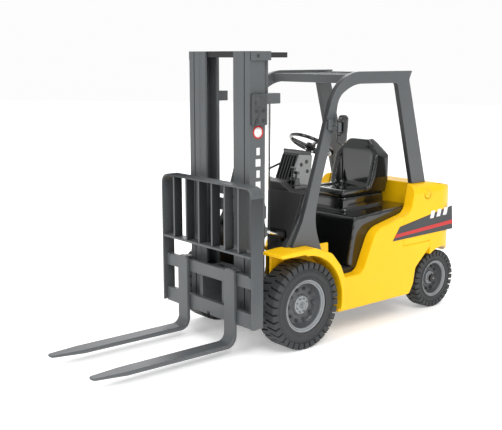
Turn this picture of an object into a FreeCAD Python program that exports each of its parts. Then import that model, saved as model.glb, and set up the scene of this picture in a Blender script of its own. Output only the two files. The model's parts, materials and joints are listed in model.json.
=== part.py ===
"""Toy counterbalance forklift, one tenth of a three-tonne truck.

Axes: the forks point along -Y, the truck's left side is +X, +Z is up.
Shapes are drawn from the front axle (y = 0 there) and every one is shifted
by front_axle_y, so that the whole truck is centred on the origin.
"""
import FreeCAD, Part
import math
import os
import Sketcher

V = FreeCAD.Vector
doc = FreeCAD.newDocument("forklift")
sheet = doc.addObject("Spreadsheet::Sheet", "dims")

# name, millimetres, what it measures
MEASURES = [
    ("front_axle_y", -12.75, "front axle, from the middle of the length"),
    ("front_radius", 35.0, "front tyre radius, also the axle height"),
    ("front_in", 42.0, "front tyre, inner face"),
    ("front_out", 62.0, "front tyre, outer face"),
    ("front_rim", 21.5, "front rim radius"),
    ("axle_r", 3.0, "front axle radius"),
    ("wheelbase", 173.2, "front axle to rear axle"),
    ("rear_radius", 26.6, "rear tyre radius"),
    ("rear_in", 34.5, "rear tyre, inner face"),
    ("rear_out", 50.0, "rear tyre, outer face"),
    ("rear_rim", 16.9, "rear rim radius"),
    ("stub_r", 2.5, "rear stub axle radius"),
    ("kingpin_x", 30.0, "kingpin, from the middle"),
    ("kingpin_r", 1.5, "kingpin radius"),
    ("steer_arm", 10.0, "kingpin to tie bar pin"),
    ("run_gap", 0.05, "radial gap of a turning fit"),
    ("slide_gap", 0.2, "gap of a sliding face"),
    ("mast_top", 231.4, "top of the mast channels"),
    ("mast_foot", 23.0, "foot of the mast channels"),
    ("mast_front", -38.0, "front face of the mast"),
    ("mast_back", -22.8, "rear face of the outer channels"),
    ("outer_out", 37.7, "outer channel, outer face"),
    ("outer_web", 2.8, "outer channel, web thickness"),
    ("flange", 2.6, "channel flange thickness"),
    ("outer_lip", 31.9, "outer channel, flange tip"),
    ("inner_out", 30.9, "inner channel, outer face"),
    ("inner_lip", 17.5, "inner channel, flange tip"),
    ("inner_back", -23.2, "rear face of the inner channels"),
    ("pivot_y", -13.0, "mast pivot"),
    ("pivot_z", 35.0, "mast pivot height"),
    ("pivot_r", 2.5, "mast pivot pin radius"),
    ("lift_x", 30.8, "lift cylinder, from the middle"),
    ("lift_y", -16.6, "lift cylinder axis"),
    ("lift_r", 3.0, "lift cylinder barrel radius"),
    ("lift_rod_r", 2.2, "lift rod radius"),
    ("tilt_x", 36.3, "tilt cylinder, from the middle"),
    ("tilt_y", -20.2, "tilt pin on the mast"),
    ("tilt_z", 93.6, "tilt pin on the mast, height"),
    ("tilt_rear_y", 26.0, "tilt cylinder's rear pin"),
    ("tilt_rear_z", 78.4, "tilt cylinder's rear pin, height"),
    ("tilt_rod_r", 1.5, "tilt rod radius"),
    ("bar_half", 56.8, "carriage bar, half length"),
    ("bar_front", -49.6, "carriage bar, front face"),
    ("bar_back", -45.6, "carriage bar, rear face"),
    ("rest_top", 132.8, "load backrest, top"),
    ("rest_half", 58.4, "load backrest, half width"),
    ("rest_wall", 1.6, "load backrest, band thickness"),
    ("fork_x", 30.4, "fork, from the middle"),
    ("fork_half", 6.4, "fork, half width"),
    ("fork_tip", -174.5, "fork tip"),
    ("fork_back", -49.8, "fork shank, rear face"),
    ("fork_front", -52.8, "fork shank, front face"),
    ("blade_top", 10.0, "fork blade, top"),
    ("body_x", 47.0, "inner tub and engine cover, half width"),
    ("panel_x", 57.5, "body sides, half width"),
    ("arch_in", 39.3, "inner wall of the front wheel arch"),
    ("fender_z", 80.2, "top of the front fenders"),
    ("sill", 21.5, "lower edge of the body"),
    ("floor_z", 54.0, "cab floor"),
    ("wall", 2.0, "moulded wall"),
    ("deck_z", 118.0, "top of the counterweight"),
    ("tail", 200.0, "rear face of the counterweight"),
    ("guard_in", 45.0, "overhead guard sides, inner face"),
    ("guard_out", 49.7, "overhead guard sides, outer face"),
    ("roof_z", 215.5, "top of the overhead guard"),
    ("wheel_y", 62.5, "steering wheel"),
    ("wheel_z", 153.2, "steering wheel height"),
    ("wheel_r", 19.0, "steering wheel, rim centre line"),
    ("lever_y", 23.0, "pivot of the hand levers"),
    ("lever_z", 127.5, "pivot of the hand levers, height"),
]


def number(value):
    """The plain number of a measure or of a number."""
    return value.number if isinstance(value, Measure) else float(value)


def formula(value):
    """The sheet formula of a measure, or a number written out."""
    return value.formula if isinstance(value, Measure) else "%.7g" % value


class Measure:
    """A length together with the sheet formula that gives it."""

    def __init__(self, value, text):
        self.number = float(value)
        self.formula = text

    def __add__(self, other):
        return Measure(number(self) + number(other), "(%s + %s)" % (formula(self), formula(other)))

    def __radd__(self, other):
        return Measure(number(other) + number(self), "(%s + %s)" % (formula(other), formula(self)))

    def __sub__(self, other):
        return Measure(number(self) - number(other), "(%s - %s)" % (formula(self), formula(other)))

    def __rsub__(self, other):
        return Measure(number(other) - number(self), "(%s - %s)" % (formula(other), formula(self)))

    def __mul__(self, other):
        return Measure(number(self) * number(other), "(%s * %s)" % (formula(self), formula(other)))

    def __rmul__(self, other):
        return Measure(number(other) * number(self), "(%s * %s)" % (formula(other), formula(self)))

    def __neg__(self):
        return Measure(-self.number, "(0 - %s)" % self.formula)


class Measures:
    """The named measures of the truck."""


d = Measures()
for row, (name, value, note) in enumerate(MEASURES, start=1):
    sheet.set("A%d" % row, name)
    sheet.set("B%d" % row, "%.7g" % value)
    sheet.setAlias("B%d" % row, name)
    sheet.set("C%d" % row, note)
    setattr(d, name, Measure(value, "dims." + name))
doc.recompute()

NODES = {}


def node(name, item):
    """Name a finished piece."""
    item.Label = name
    NODES[name] = item
    return item


def bind(item, path, value):
    """Drive a property by the sheet, or set it once."""
    if isinstance(value, Measure):
        item.setExpression(path, value.formula)
    else:
        setattr(item, path, float(value))


def place(item, x, y, z, turn=None):
    """Put an object at x, y, z with y counted from the front axle."""
    y = d.front_axle_y + y
    spot = V(number(x), number(y), number(z))
    item.Placement = FreeCAD.Placement(spot, turn or FreeCAD.Rotation())
    for key, value in (("x", x), ("y", y), ("z", z)):
        if isinstance(value, Measure):
            item.setExpression("Placement.Base." + key, value.formula)
    return item


def box(x, y, z):
    """A block between two values on each axis."""
    item = doc.addObject("Part::Box", "block")
    bind(item, "Length", x[1] - x[0])
    bind(item, "Width", y[1] - y[0])
    bind(item, "Height", z[1] - z[0])
    return place(item, x[0], y[0], z[0])


TURNS = {
    "x": FreeCAD.Rotation(V(0, 1, 0), 90),
    "y": FreeCAD.Rotation(V(1, 0, 0), -90),
    "z": FreeCAD.Rotation(),
}


def drum(axis, centre, span, radius):
    """A cylinder along an axis; centre holds the other two coordinates."""
    item = doc.addObject("Part::Cylinder", "drum")
    bind(item, "Radius", radius)
    bind(item, "Height", span[1] - span[0])
    if axis == "x":
        spot = (span[0], centre[0], centre[1])
    elif axis == "y":
        spot = (centre[0], span[0], centre[1])
    else:
        spot = (centre[0], centre[1], span[0])
    return place(item, spot[0], spot[1], spot[2], TURNS[axis])


def rod(start, end, radius):
    """A cylinder between two points."""
    a = V(*[number(v) for v in start])
    b = V(*[number(v) for v in end])
    item = doc.addObject("Part::Cylinder", "rod")
    bind(item, "Radius", radius)
    item.Height = (b - a).Length
    return place(item, start[0], start[1], start[2], FreeCAD.Rotation(V(0, 0, 1), b - a))


def fuse(*items):
    """Join pieces into one solid."""
    item = doc.addObject("Part::MultiFuse", "joined")
    item.Shapes = list(items)
    item.Refine = True
    return item


def cut(base, *tools):
    """Take the tools out of the base."""
    item = doc.addObject("Part::Cut", "cut")
    item.Base = base
    item.Tool = tools[0] if len(tools) == 1 else fuse(*tools)
    item.Refine = True
    return item


def common(*items):
    """Keep only what all the items share."""
    item = doc.addObject("Part::MultiCommon", "common")
    item.Shapes = list(items)
    item.Refine = True
    return item


def mirrored(source):
    """The same piece on the truck's other side."""
    item = doc.addObject("Part::Mirroring", "mirrored")
    item.Source = source
    item.Base = V(0, 0, 0)
    item.Normal = V(1, 0, 0)
    return item


def group(*items):
    """Separate solids kept under one name."""
    item = doc.addObject("Part::Compound", "group")
    item.Links = list(items)
    return item


def both(source):
    """A piece and its mirror image, kept as two solids."""
    return group(source, mirrored(source))


def sides(name, source):
    """A piece on the left side and its mirror image on the right."""
    node(name + "_left", source)
    node(name + "_right", mirrored(source))


PLANES = {"yz": "YZ_Plane", "xz": "XZ_Plane", "xy": "XY_Plane"}


def corner_geometry(loop):
    """For every corner: the points where the straight edges end, and the arc if it is rounded."""
    corners = []
    count = len(loop)
    for index in range(count):
        here = V(number(loop[index][0]), number(loop[index][1]), 0)
        last = V(number(loop[index - 1][0]), number(loop[index - 1][1]), 0)
        after = V(number(loop[(index + 1) % count][0]), number(loop[(index + 1) % count][1]), 0)
        radius = number(loop[index][2]) if len(loop[index]) > 2 else 0.0
        if radius == 0.0:
            corners.append((here, here, None, 0.0))
            continue
        back = (last - here).normalize()
        ahead = (after - here).normalize()
        half = back.getAngle(ahead) / 2
        reach = radius / math.tan(half)
        middle = here + (back + ahead).normalize() * (radius / math.sin(half))
        corners.append((here + back * reach, here + ahead * reach, middle, radius))
    return corners


def hold(sketch, index, point, a, b):
    """Fix a sketch point at a, b from the origin."""
    for kind, value in (("DistanceX", a), ("DistanceY", b)):
        if abs(number(value)) < 1e-9:
            where = -2 if kind == "DistanceX" else -1
            sketch.addConstraint(Sketcher.Constraint("PointOnObject", index, point, where))
            continue
        key = sketch.addConstraint(Sketcher.Constraint(kind, index, point, number(value)))
        if isinstance(value, Measure):
            sketch.setExpression("Constraints[%d]" % key, value.formula)


def arc_between(start, end, middle, radius):
    """The short arc from start to end, and which of its ends is the start."""
    first = math.atan2(start.y - middle.y, start.x - middle.x)
    last = math.atan2(end.y - middle.y, end.x - middle.x)
    forward = (start - middle).cross(end - middle).z > 0
    if not forward:
        first, last = last, first
    circle = Part.Circle(middle, V(0, 0, 1), radius)
    return Part.ArcOfCircle(circle, first, last), forward


def draw_loop(sketch, loop):
    """Draw one closed outline of straight edges and rounded corners."""
    corners = corner_geometry(loop)
    count = len(loop)
    lines = []
    for index in range(count):
        line = Part.LineSegment(corners[index][1], corners[(index + 1) % count][0])
        lines.append(sketch.addGeometry(line, False))
    for index in range(count):
        before = lines[index - 1]
        after = lines[index]
        start, end, middle, radius = corners[index]
        if middle is None:
            sketch.addConstraint(Sketcher.Constraint("Coincident", before, 2, after, 1))
            hold(sketch, after, 1, loop[index][0], loop[index][1])
            continue
        shape, forward = arc_between(start, end, middle, radius)
        arc = sketch.addGeometry(shape, False)
        ends = (1, 2) if forward else (2, 1)
        sketch.addConstraint(Sketcher.Constraint("Tangent", before, 2, arc, ends[0]))
        sketch.addConstraint(Sketcher.Constraint("Tangent", arc, ends[1], after, 1))
        sketch.addConstraint(Sketcher.Constraint("Radius", arc, radius))
        spot = V(number(loop[index][0]), number(loop[index][1]), 0)
        point = sketch.addGeometry(Part.Point(spot), True)
        hold(sketch, point, 1, loop[index][0], loop[index][1])
        sketch.addConstraint(Sketcher.Constraint("PointOnObject", point, 1, before))
        sketch.addConstraint(Sketcher.Constraint("PointOnObject", point, 1, after))


def sketch_in(body, plane, loops):
    """A sketch of closed outlines on one of the body's own planes."""
    sketch = body.newObject("Sketcher::SketchObject", "outline")
    face = [f for f in body.Origin.OriginFeatures if f.Role == PLANES[plane]][0]
    sketch.AttachmentSupport = [(face, "")]
    sketch.MapMode = "FlatFace"
    for loop in loops:
        draw_loop(sketch, loop)
    return sketch


def prism(plane, span, *loops):
    """Outlines pushed from one level to the other along the plane's axis."""
    body = doc.addObject("PartDesign::Body", "body")
    sketch = sketch_in(body, plane, loops)
    low, high = span
    sign = -1 if plane == "xz" else 1
    offset = -high if plane == "xz" else low
    if isinstance(offset, Measure):
        sketch.setExpression("AttachmentOffset.Base.z", offset.formula)
    else:
        sketch.AttachmentOffset = FreeCAD.Placement(V(0, 0, offset), FreeCAD.Rotation())
    pad = body.newObject("PartDesign::Pad", "pad")
    pad.Profile = sketch
    bind(pad, "Length", high - low)
    body.Tip = pad
    return place(body, 0, 0, 0)


def turned(y, z, loop):
    """A ring turned about the X direction; the outline is (x, radius)."""
    body = doc.addObject("PartDesign::Body", "body")
    sketch = sketch_in(body, "xy", [loop])
    spin = body.newObject("PartDesign::Revolution", "spin")
    spin.Profile = sketch
    spin.ReferenceAxis = (sketch, ["H_Axis"])
    spin.Angle = 360
    body.Tip = spin
    return place(body, 0, y, z)


# ---------------------------------------------------------------- mast

def outer_channels():
    """Two upright channels, open towards each other, on ears round the mast pivot."""
    web = box((d.outer_out - d.outer_web, d.outer_out), (d.mast_front, d.mast_back),
              (d.mast_foot, d.mast_top))
    front = box((d.outer_lip, d.outer_out), (d.mast_front, d.mast_front + d.flange),
                (d.mast_foot, d.mast_top))
    back = box((d.outer_lip, d.outer_out), (d.mast_back - d.flange, d.mast_back),
               (d.mast_foot, d.mast_top))
    ear = drum("x", (d.pivot_y, d.pivot_z), (d.outer_out - d.outer_web, d.outer_out), 5.5)
    neck = box((d.outer_out - d.outer_web, d.outer_out), (d.mast_back, d.pivot_y),
               (d.pivot_z - 5.5, d.pivot_z + 5.5))
    hole = drum("x", (d.pivot_y, d.pivot_z), (30, 40), d.pivot_r + d.run_gap)
    node("outer_channels", both(cut(fuse(web, front, back, ear, neck), hole)))


def outer_crossmembers():
    """Two plates across the back of the outer channels."""
    low = box((-d.outer_out, d.outer_out), (d.mast_back, -15.9), (46, 58))
    mid = box((-d.outer_out, d.outer_out), (d.mast_back, d.mast_back + 2), (104, 114))
    node("outer_crossmembers", group(low, mid))


def side_plate():
    """A boss plate high on the outside of the left channel."""
    plate = prism("yz", (d.outer_out, d.outer_out + 3.6),
                  [(-36.8, 176.5, 1), (-23.3, 176.5, 1), (-23.3, 200, 1), (-36.8, 200, 1)])
    boss = drum("x", (-30.8, 194), (d.outer_out, d.outer_out + 4.6), 3.8)
    node("side_plate", fuse(plate, boss))


def mast_bolts():
    """Bolt heads on the boss plate and the top brackets."""
    heads = []
    for y, z in ((-33.8, 187.3), (-26.8, 187.3), (-33.8, 180), (-26.8, 180)):
        heads.append(drum("x", (y, z), (d.outer_out + 3.6, d.outer_out + 4.4), 1.3))
    top = drum("x", (-31, 228), (d.outer_out + 1.8, d.outer_out + 2.4), 1.3)
    node("mast_bolts", group(top, mirrored(top), *heads))


def mast_brackets():
    """Top caps, the blocks that hold the lift cylinders and the clevises of the tilt rods."""
    cap = box((d.outer_out, d.outer_out + 1.8), (-37, -18), (224.6, d.mast_top))
    block = box((27, d.outer_out), (d.mast_back, -7), (192, 200))
    clamp = cut(block, drum("z", (d.lift_x, d.lift_y), (190, 202), d.lift_rod_r + d.run_gap))
    foot = box((d.tilt_x - 2.1, d.outer_out), (d.mast_back, d.mast_back + 0.5), (88, 99.2))
    cheeks = []
    for low, high in ((-2.1, -1.2), (1.2, 2.1)):
        cheeks.append(prism("yz", (d.tilt_x + low, d.tilt_x + high),
                            [(d.mast_back, 89, 0), (-19.8, 91, 1.5), (-18.2, 93.6, 1.5),
                             (-19.8, 96.6, 1.5), (d.mast_back, 98.5, 0)]))
    pin_hole = drum("x", (d.tilt_y, d.tilt_z), (30, 40), 1.0)
    clevis = cut(fuse(foot, *cheeks), pin_hole)
    node("mast_brackets", group(cap, clamp, clevis, mirrored(cap), mirrored(clamp), mirrored(clevis)))


def hydraulic_lines():
    """A thin pipe down the back of each lift cylinder."""
    pipe = rod((32.5, -13.3, 64), (32.5, -13.3, 192), 0.5)
    foot = cut(rod((32.5, -13.3, 64), (31.6, -15.1, 64), 0.5),
               drum("z", (d.lift_x, d.lift_y), (50, 80), d.lift_r))
    node("hydraulic_lines", both(fuse(pipe, foot)))


def lift_cylinders():
    """An upright barrel behind each channel, on the lower crossmember."""
    barrel = drum("z", (d.lift_x, d.lift_y), (58, 192), d.lift_r)
    bore = drum("z", (d.lift_x, d.lift_y), (60, 193), d.lift_rod_r + d.run_gap)
    node("lift_cylinders", both(cut(barrel, bore)))


def tilt_pins():
    """The pins that join the tilt rods to the mast."""
    pin = drum("x", (d.tilt_y, d.tilt_z), (d.tilt_x - 2.3, d.tilt_x + 2.3), 1.0)
    node("tilt_pins", both(pin))


def inner_channels():
    """The lifting frame: two channels tied together at the back."""
    edge = d.inner_out - d.outer_web
    web = box((edge, d.inner_out), (d.mast_front, d.inner_back), (d.mast_foot, d.mast_top))
    step = box((25, d.inner_out), (d.mast_front, d.mast_front + d.flange), (d.mast_foot, d.mast_top))
    lip = box((d.inner_lip, d.inner_out), (d.mast_front + 0.6, d.mast_front + d.flange),
              (d.mast_foot, d.mast_top))
    back = box((d.inner_lip, d.inner_out), (d.inner_back - d.flange, d.inner_back),
               (d.mast_foot, 226.6))
    side = fuse(web, step, lip, back)
    ties = []
    for low, high in ((24, 34), (118, 126)):
        ties.append(box((-d.inner_lip - 1, d.inner_lip + 1), (d.inner_back - d.flange, d.inner_back),
                        (low, high)))
    node("inner_channels", fuse(side, mirrored(side), *ties))


def inner_crosshead():
    """The head of the lifting frame, with an arm back over each lift rod."""
    edge = d.inner_out - d.outer_web
    bar = box((-edge, edge), (d.mast_front + d.flange, d.inner_back - d.flange), (226.6, d.mast_top))
    tab = box((20, 26), (d.inner_back - d.flange, -22.4), (226.6, 230.6))
    arm = box((20, 37.4), (-22.4, 0.2), (226.6, 230.6))
    node("inner_crosshead", group(bar, fuse(tab, arm), mirrored(fuse(tab, arm))))


def lift_rods():
    """Rods from the barrels up to the crosshead."""
    node("lift_rods", both(drum("z", (d.lift_x, d.lift_y), (62, 226.6), d.lift_rod_r)))


def inner_mast_guides():
    """Plastic pads between the inner and the outer channels."""
    gap = d.slide_gap
    pads = []
    for low, high in ((40, 48), (98, 106)):
        pads.append(box((d.inner_out, d.outer_out - d.outer_web - gap),
                        (d.mast_front + d.flange + gap, d.mast_back - d.flange - gap), (low, high)))
    node("inner_mast_guides", group(*(pads + [mirrored(pad) for pad in pads])))


# ---------------------------------------------------------------- carriage and forks

def carriage_plate():
    """Two cross bars joined by the plates that run back into the mast."""
    upper = box((-d.bar_half, d.bar_half), (d.bar_front, d.bar_back), (55, 65))
    lower = box((-d.bar_half, d.bar_half), (d.bar_front, d.bar_back), (24, 36))
    cheek = box((12.5, 16.5), (d.bar_back, -26.3), (27, 60))
    notches = [box((-2, 2), (-50, -45), (24, 26.5))]
    for x in (-52, -22, 22, 52):
        notches.append(box((x - 1, x + 1), (-50, -45), (64, 65)))
    whole = fuse(upper, lower, cheek, mirrored(cheek))
    node("carriage_plate", cut(whole, *notches))


def load_backrest():
    """An upside-down U band with a cross bar and thin upright bars."""
    half = d.rest_half
    inner = d.rest_half - d.rest_wall
    top = d.rest_top
    under = d.rest_top - d.rest_wall
    bend = 8
    leg = box((inner, half), (-52.8, -41.7), (25, top - bend))
    corner = prism("xz", (-52.8, -41.7),
                   [(half, top - bend), (half, top, 7.9), (half - bend, top), (half - bend, under),
                    (inner, under, 6.3), (inner, top - bend)])
    strip = box((bend - half, half - bend), (-52.8, -41.7), (under, top))
    bar = box((-inner, inner), (-52.8, -43), (79.6, 81.4))
    posts = []
    for x in (-42.3, -25.3, -8.5, 8.3, 24.3, 41.0):
        posts.append(box((x - 1, x + 1), (-52, -44), (81.4, under)))
    node("load_backrest", group(leg, mirrored(leg), corner, mirrored(corner), strip, bar, *posts))


def carriage_guides():
    """Plastic pads that run inside the inner channels."""
    pads = []
    for low, high in ((28, 36), (52, 60)):
        pads.append(box((16.5, 27.8), (-35.1, -26.1), (low, high)))
    node("carriage_guides", group(*(pads + [mirrored(pad) for pad in pads])))


def forks():
    """An L of flat bar, tapered to a rounded tip, hooked over the upper bar."""
    low = d.fork_x - d.fork_half
    high = d.fork_x + d.fork_half
    side = prism("yz", (low, high),
                 [(d.fork_back, 67.6), (d.fork_front, 67.6), (d.fork_front, d.blade_top, 6.5),
                  (d.fork_tip, d.blade_top), (d.fork_tip, 8.2), (-148, 6.9), (-100, 6.4),
                  (d.fork_back, 6.4, 9.3)])
    plan = prism("xy", (0, 80),
                 [(low, -40), (low, -148), (d.fork_x - 3.6, d.fork_tip, 3), (d.fork_x + 3.6, d.fork_tip, 3),
                  (high, -148), (high, -40)])
    face = prism("xz", (-180, -40),
                 [(low, 0), (high, 0), (high, 64.5), (d.fork_x + 4.2, 67.6), (d.fork_x - 4.2, 67.6),
                  (low, 64.5)])
    plate = box((d.fork_x - 4, d.fork_x + 4), (d.fork_back - 0.5, d.bar_back + 2), (65.2, 67.2))
    tongue = box((d.fork_x - 4, d.fork_x + 4), (d.bar_back + 0.3, d.bar_back + 2), (61.8, 66))
    sides("fork", fuse(common(side, plan, face), plate, tongue))


# ---------------------------------------------------------------- tilt cylinders

def tilt_cylinders():
    """Barrels on the chassis and rods that end in an eye on the mast."""
    rear = V(0, d.tilt_rear_y.number, d.tilt_rear_z.number)
    front = V(0, d.tilt_y.number, d.tilt_z.number)
    along = (front - rear).normalize()
    reach = (front - rear).Length

    def at(distance):
        spot = rear + along * distance
        return (d.tilt_x, spot.y, spot.z)

    eye = drum("x", (d.tilt_rear_y, d.tilt_rear_z), (d.tilt_x - 1.8, d.tilt_x + 1.8), 2.8)
    barrel = fuse(rod(at(6), at(33), 2.7), rod(at(2), at(7), 1.7), rod(at(32), at(37), 2.9), eye)
    bore = rod(at(9), at(38), d.tilt_rod_r + d.run_gap)
    pin_hole = drum("x", (d.tilt_rear_y, d.tilt_rear_z), (30, 42), 1.2 + d.run_gap)
    sides("tilt_cylinder", cut(barrel, bore, pin_hole))

    ring = drum("x", (d.tilt_y, d.tilt_z), (d.tilt_x - 1.0, d.tilt_x + 1.0), 1.95)
    hole = drum("x", (d.tilt_y, d.tilt_z), (30, 42), 1.12)
    slim = box((d.tilt_x - 1.0, d.tilt_x + 1.0), (-24, 20), (70, 110))
    tip = common(rod(at(reach - 4.2), at(reach - 1.2), d.tilt_rod_r), slim)
    stem = rod(at(16.5), at(reach - 3.4), d.tilt_rod_r)
    sides("tilt_rod", cut(fuse(stem, tip, ring), hole))


# ---------------------------------------------------------------- wheels

def nuts(y, z, circle, span, radius, count):
    """A ring of moulded wheel nuts."""
    items = []
    for step in range(count):
        angle = 2 * math.pi * step / count
        items.append(drum("x", (y + circle * math.cos(angle), z + circle * math.sin(angle)), span, radius))
    return items


def front_wheels():
    """Block-tread tyres on dished rims."""
    z = d.front_radius
    rim = turned(0, z, [(43, 3.05), (57.5, 3.05), (57.5, 6.2), (54.5, 7.5), (54.5, 16), (57.5, 18.5),
                        (60.8, 19.4), (60.8, d.front_rim), (42.8, d.front_rim), (42.8, 19.5),
                        (51, 18.5), (51, 7.5), (43, 6.2)])
    sides("front_rim", fuse(rim, *nuts(0, z, 12, (54, 56), 1.25, 10)))
    tyre = turned(0, z, [(d.front_in, d.front_rim), (d.front_out, d.front_rim), (d.front_out, 28),
                         (d.front_out - 0.8, 33.5), (d.front_out - 2.4, d.front_radius),
                         (d.front_in + 2.4, d.front_radius), (d.front_in + 0.8, 33.5), (d.front_in, 28)])
    grooves = tread_grooves(0, z, d.front_radius.number, (41.5, 50.5), (53.5, 62.5), 16)
    sides("front_tyre", cut(tyre, *grooves))


def tread_grooves(y, z, radius, inner, outer, count):
    """Slots across both shoulders of a tyre, staggered side to side."""
    slots = []
    depth = radius - 2.6
    for row, span in enumerate((inner, outer)):
        for step in range(count):
            angle = 360.0 * (step + 0.5 * row + 0.25) / count
            slot = doc.addObject("Part::Box", "slot")
            slot.Length = span[1] - span[0]
            slot.Width = 2.6
            slot.Height = 6
            turn = FreeCAD.Rotation(V(1, 0, 0), angle)
            shift = turn.multVec(V(0, -1.3, depth))
            place(slot, span[0], y + shift.y, z + shift.z, turn)
            slots.append(slot)
    return slots


def rear_wheels():
    """Smaller tyres and rims that turn on the knuckles."""
    y = d.wheelbase
    z = d.rear_radius
    rim = turned(y, z, [(35.2, 2.55), (46.5, 2.55), (46.5, 5), (44.5, 6), (44.5, 12.5), (46.8, 14.4),
                        (49.2, 15.1), (49.2, d.rear_rim), (35, d.rear_rim), (35, 15.2), (41.5, 14),
                        (41.5, 6.5), (35.2, 5.5)])
    sides("rear_rim", fuse(rim, *nuts(y, z, 9.3, (44, 45.6), 1.0, 10)))
    tyre = turned(y, z, [(d.rear_in, d.rear_rim), (d.rear_out, d.rear_rim), (d.rear_out, 21.5),
                         (d.rear_out - 0.7, 25.4), (d.rear_out - 2, d.rear_radius),
                         (d.rear_in + 2, d.rear_radius), (d.rear_in + 0.7, 25.4), (d.rear_in, 21.5)])
    grooves = tread_grooves(y, z, d.rear_radius.number + 0.5, (34, 41), (43.5, 50.5), 14)
    sides("rear_tyre", cut(tyre, *grooves))


def front_axle():
    """The fixed front axle with collars inside and caps outside the wheels."""
    z = d.front_radius
    shaft = drum("x", (0, z), (-58.6, 58.6), d.axle_r)
    collar = drum("x", (0, z), (34.6, 42.8), 4.5)
    cap = drum("x", (0, z), (57.7, 59.4), 4.6)
    node("front_axle", fuse(shaft, collar, mirrored(collar), cap, mirrored(cap)))


def rear_axle_beam():
    """The steer axle: a block with a yoke for each knuckle."""
    y = d.wheelbase
    block = box((-24, 24), (y - 5.2, y + 5.8), (18.2, 36))
    arms = []
    for low, high in ((18.2, 21.2), (32, 36)):
        arms.append(box((-32.6, 32.6), (y - 3.5, y + 3.5), (low, high)))
    pin = drum("z", (d.kingpin_x, y), (15, 40), d.kingpin_r)
    node("rear_axle_beam", cut(fuse(block, *arms), pin, mirrored(pin)))


def knuckles():
    """Steering knuckles with a stub axle and a steering arm."""
    x = d.kingpin_x
    y = d.wheelbase
    z = d.rear_radius
    block = box((x - 3.5, x + 3.5), (y - 3.6, y + 3.6), (21.4, 31.8))
    stub = drum("x", (y, z), (x, 48), d.stub_r)
    cap = drum("x", (y, z), (46.7, 48.2), 3.8)
    arm = prism("xy", (21.8, 24.3),
                [(x - 2.4, y - 12.4, 2), (x + 2.4, y - 12.4, 2), (x + 2.4, y), (x - 2.4, y)])
    stud = drum("z", (x, y - d.steer_arm), (24, 27.8), 1.2)
    hole = drum("z", (x, y), (20, 33), d.kingpin_r + d.run_gap)
    sides("knuckle", cut(fuse(block, stub, cap, arm, stud), hole))


def tie_bar():
    """The bar that turns both knuckles together."""
    y = d.wheelbase - d.steer_arm + 0.3
    bar = prism("xy", (24.6, 27.2), [(-32.8, y - 3.2, 1.5), (32.8, y - 3.2, 1.5), (32.8, y + 3.2, 1.5),
                                     (-32.8, y + 3.2, 1.5)])
    slots = []
    for x in (-30, 30):
        slots.append(prism("xy", (24, 28), [(x - 1.3, y - 1.9, 1.2), (x + 1.3, y - 1.9, 1.2),
                                            (x + 1.3, y + 1.9, 1.2), (x - 1.3, y + 1.9, 1.2)]))
    node("tie_bar", cut(bar, *slots))


def pivot_pins():
    """Mast pivots, rear tilt pins and kingpins, all fixed in the truck."""
    mast = drum("x", (d.pivot_y, d.pivot_z), (20, 38.6), d.pivot_r)
    tilt = drum("x", (d.tilt_rear_y, d.tilt_rear_z), (d.tilt_x - 2.9, d.tilt_x + 2.9), 1.2)
    king = drum("z", (d.kingpin_x, d.wheelbase), (18.2, 36), d.kingpin_r)
    pins = [mast, tilt, king]
    node("pivot_pins", group(*(pins + [mirrored(pin) for pin in pins])))


# ---------------------------------------------------------------- truck body

def chassis_frame():
    """The moulded tub, its nose with the mast lugs, and the spine to the steer axle."""
    x = d.body_x
    w = d.wall
    tub = cut(box((-x, x), (43.5, 132), (22, 51)), box((w - x, x - w), (45.5, 130), (24, 52)))
    nose = cut(box((-d.arch_in, d.arch_in), (14, 43.5), (22, 51)), box((-36, 36), (16, 45), (24, 52)))
    block = box((-34.6, 34.6), (-8, 14), (22, 51))
    lug = box((20, 34.6), (-18, -8), (28, 42))
    spine = cut(box((-21, 21), (132, 192), (36, 60)), box((-19, 19), (134, 190), (38, 58)))
    mast_pin = drum("x", (d.pivot_y, d.pivot_z), (20, 36), d.pivot_r)
    tools = [drum("x", (0, d.front_radius), (-60, 60), d.axle_r), mast_pin, mirrored(mast_pin),
             box((-30, 30), (60, 120), (20, 24.5)), box((35.8, 40.2), (70.5, 81.5), (20, 25))]
    screw = drum("z", (42, 50), (20, 25), 1.2)
    screw_b = drum("z", (42, 126), (20, 25), 1.2)
    tools += [screw, screw_b, mirrored(screw), mirrored(screw_b)]
    opening = box((-34, 34), (41, 46), (26, 52))
    hull = cut(fuse(tub, nose), opening, *tools)
    node("chassis_frame", group(hull, cut(block, *tools[:1]), cut(lug, mast_pin),
                                mirrored(cut(lug, mast_pin)), spine))


def side_panels():
    """The body sides: front fender, foot step and the sweep up to the counterweight."""
    panel = prism("yz", (d.body_x, d.panel_x),
                  [(40, d.sill), (129, d.sill, 3), (134, 30, 6), (136.5, 44, 8), (156, 60.6, 2),
                   (156, 66), (119, 66), (119, 91.8), (84, 84.5, 18), (68.5, 49.8, 10), (40, 49.8)])
    arch = drum("x", (d.wheelbase, d.rear_radius), (40, 62), 38)
    hollow = box((d.body_x - 1, d.panel_x - 2.2), (46, 117), (24.5, 46.5))
    fender = prism("yz", (d.arch_in, d.front_out),
                   [(-26, 76.3), (-26, 79.3, 1), (-12, d.fender_z), (10, d.fender_z, 6),
                    (28, 73.5, 8), (38, 62, 8), (43.5, 50), (43.5, 25, 1.5), (36, 25), (0, 60), (0, 76.3)])
    wheel_room = drum("x", (0, d.front_radius), (39, 64), 40)
    arch_wall = box((d.arch_in, d.arch_in + 2.2), (-20, 43.5), (44, 77))
    tip = cut(fuse(cut(fender, wheel_room), arch_wall), drum("x", (0, d.front_radius), (30, 45), 5))
    body = cut(panel, hollow, hollow_top())
    shell = cut(body, common(arch, box((40, 62), (130, 160), (0, 48))))
    sides("side_panel", fuse(shell, tip))


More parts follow.
